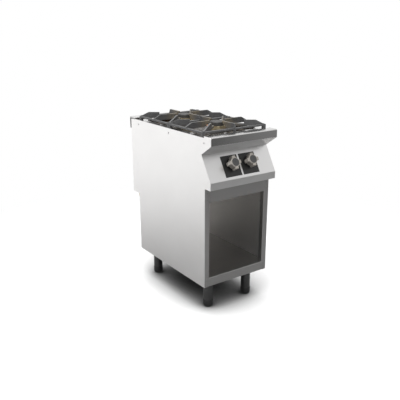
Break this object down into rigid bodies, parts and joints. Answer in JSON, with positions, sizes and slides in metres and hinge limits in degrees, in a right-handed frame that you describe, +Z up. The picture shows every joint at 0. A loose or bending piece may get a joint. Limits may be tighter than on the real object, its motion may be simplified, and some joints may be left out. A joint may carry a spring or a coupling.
{
  "type": "gas cooktop on open stand",
  "caption": "Free-standing catering gas cooktop: open burners under cast pan supports, turn knobs on a sloping panel, and an open storage compartment on adjustable legs.",
  "frame": {"origin": "on the floor, under the middle of the overall box with the knobs included", "axes": "+X to the right seen from the front, +Y to the back, +Z up; the controls face -Y"},
  "size_m": [0.4, 0.7742, 0.946],
  "materials": {
    "back_steel": "satin",
    "brass": "machined",
    "burner_iron": "cast",
    "cap_steel": "enamelled",
    "copper": "drawn copper",
    "crown_brass": "forged",
    "feed_aluminium": "drawn",
    "foot_steel": "polished",
    "front_steel": "satin",
    "galvanised": "galvanised",
    "grid_iron": "matt enamel",
    "inner_steel": "satin",
    "insert_steel": "zinc plated",
    "knob_face": "dark satin",
    "knob_mark": "dark",
    "knob_silver": "satin metallic",
    "leg_steel": "polished",
    "panel_steel": "satin",
    "pilot_steel": "machined",
    "pipe_steel": "black pipe",
    "plate_black": "satin black",
    "screw_steel": "zinc plated",
    "seal_rubber": "matt",
    "side_steel": "satin",
    "well_steel": "polished",
    "worktop_steel": "satin"
  },
  "bodies": {
    "stand": {"base_floor": "front_steel", "burner_beams": "galvanised", "burner_body_front": "burner_iron", "burner_body_rear": "burner_iron", "burner_well": "well_steel", "compartment_ceiling": "inner_steel", "control_panel": "panel_steel", "door_inserts": "insert_steel", "feed_tube_front": "feed_aluminium", "feed_tube_rear": "feed_aluminium", "front_post_left": "front_steel", "front_post_right": "front_steel", "front_screws": "screw_steel", "gas_inlet": "brass", "hob_rails": "galvanised", "injector_brackets": "galvanised", "injectors": "brass", "knob_plates": "plate_black", "leg_beams": "galvanised", "leg_bolts": "screw_steel", "leg_tubes": "leg_steel", "lower_back": "inner_steel", "manifold": "pipe_steel", "manifold_brackets": "galvanised", "manifold_plug": "brass", "pilot_lines": "feed_aluminium", "pilots": "pilot_steel", "rear_posts": "inner_steel", "rear_shelf": "back_steel", "side_panel_left": "side_steel", "side_panel_right": "side_steel", "spindle_seals": "seal_rubber", "supply_tube": "pipe_steel", "tap_body_left": "brass", "tap_body_right": "brass", "thermocouple_leads": "copper", "thermocouples": "copper", "top_rail": "front_steel", "upper_back": "back_steel", "worktop": "worktop_steel"},
    "foot_front_left": {"foot_front_left": "foot_steel"},
    "foot_front_right": {"foot_front_right": "foot_steel"},
    "foot_rear_left": {"foot_rear_left": "foot_steel"},
    "foot_rear_right": {"foot_rear_right": "foot_steel"},
    "tap_plug_left": {"tap_plug_left": "brass"},
    "knob_left": {"knob_left": "knob_silver", "knob_disc_left": "knob_face", "knob_pointer_left": "knob_mark", "spindle_left": "screw_steel"},
    "tap_plug_right": {"tap_plug_right": "brass"},
    "knob_right": {"knob_right": "knob_silver", "knob_disc_right": "knob_face", "knob_pointer_right": "knob_mark", "spindle_right": "screw_steel"},
    "pan_support_front": {"pan_support_front": "grid_iron"},
    "burner_crown_front": {"burner_crown_front": "crown_brass"},
    "burner_cap_front": {"burner_cap_front": "cap_steel"},
    "pan_support_rear": {"pan_support_rear": "grid_iron"},
    "burner_crown_rear": {"burner_crown_rear": "crown_brass"},
    "burner_cap_rear": {"burner_cap_rear": "cap_steel"}
  },
  "joints": [
    {"name": "foot_front_left_height", "type": "slide", "parent": "stand", "child": "foot_front_left", "axis": [0, 0, -1], "range_m": [0, 0.04]},
    {"name": "foot_front_right_height", "type": "slide", "parent": "stand", "child": "foot_front_right", "axis": [0, 0, -1], "range_m": [0, 0.04]},
    {"name": "foot_rear_left_height", "type": "slide", "parent": "stand", "child": "foot_rear_left", "axis": [0, 0, -1], "range_m": [0, 0.04]},
    {"name": "foot_rear_right_height", "type": "slide", "parent": "stand", "child": "foot_rear_right", "axis": [0, 0, -1], "range_m": [0, 0.04]},
    {"name": "knob_left_turn", "type": "hinge", "parent": "stand", "child": "tap_plug_left", "pos_m": [-0.054, -0.33508, 0.76016], "axis": [0, -0.8633, 0.5047], "range_deg": [0, 210]},
    {"name": "knob_left_push", "type": "slide", "parent": "tap_plug_left", "child": "knob_left", "axis": [0, 0.8633, -0.5047], "range_m": [0, 0.004], "stiffness_N_per_m": 900, "springref_m": -0.004},
    {"name": "knob_right_turn", "type": "hinge", "parent": "stand", "child": "tap_plug_right", "pos_m": [0.054, -0.33508, 0.76016], "axis": [0, -0.8633, 0.5047], "range_deg": [0, 210]},
    {"name": "knob_right_push", "type": "slide", "parent": "tap_plug_right", "child": "knob_right", "axis": [0, 0.8633, -0.5047], "range_m": [0, 0.004], "stiffness_N_per_m": 900, "springref_m": -0.004},
    {"name": "pan_support_front_lift", "type": "slide", "parent": "stand", "child": "pan_support_front", "axis": [0, 0, 1], "range_m": [0, 0.25]},
    {"name": "burner_crown_front_lift", "type": "slide", "parent": "stand", "child": "burner_crown_front", "axis": [0, 0, 1], "range_m": [0, 0.15]},
    {"name": "burner_cap_front_lift", "type": "slide", "parent": "burner_crown_front", "child": "burner_cap_front", "axis": [0, 0, 1], "range_m": [0, 0.1]},
    {"name": "pan_support_rear_lift", "type": "slide", "parent": "stand", "child": "pan_support_rear", "axis": [0, 0, 1], "range_m": [0, 0.25]},
    {"name": "burner_crown_rear_lift", "type": "slide", "parent": "stand", "child": "burner_crown_rear", "axis": [0, 0, 1], "range_m": [0, 0.15]},
    {"name": "burner_cap_rear_lift", "type": "slide", "parent": "burner_crown_rear", "child": "burner_cap_rear", "axis": [0, 0, 1], "range_m": [0, 0.1]}
  ]
}
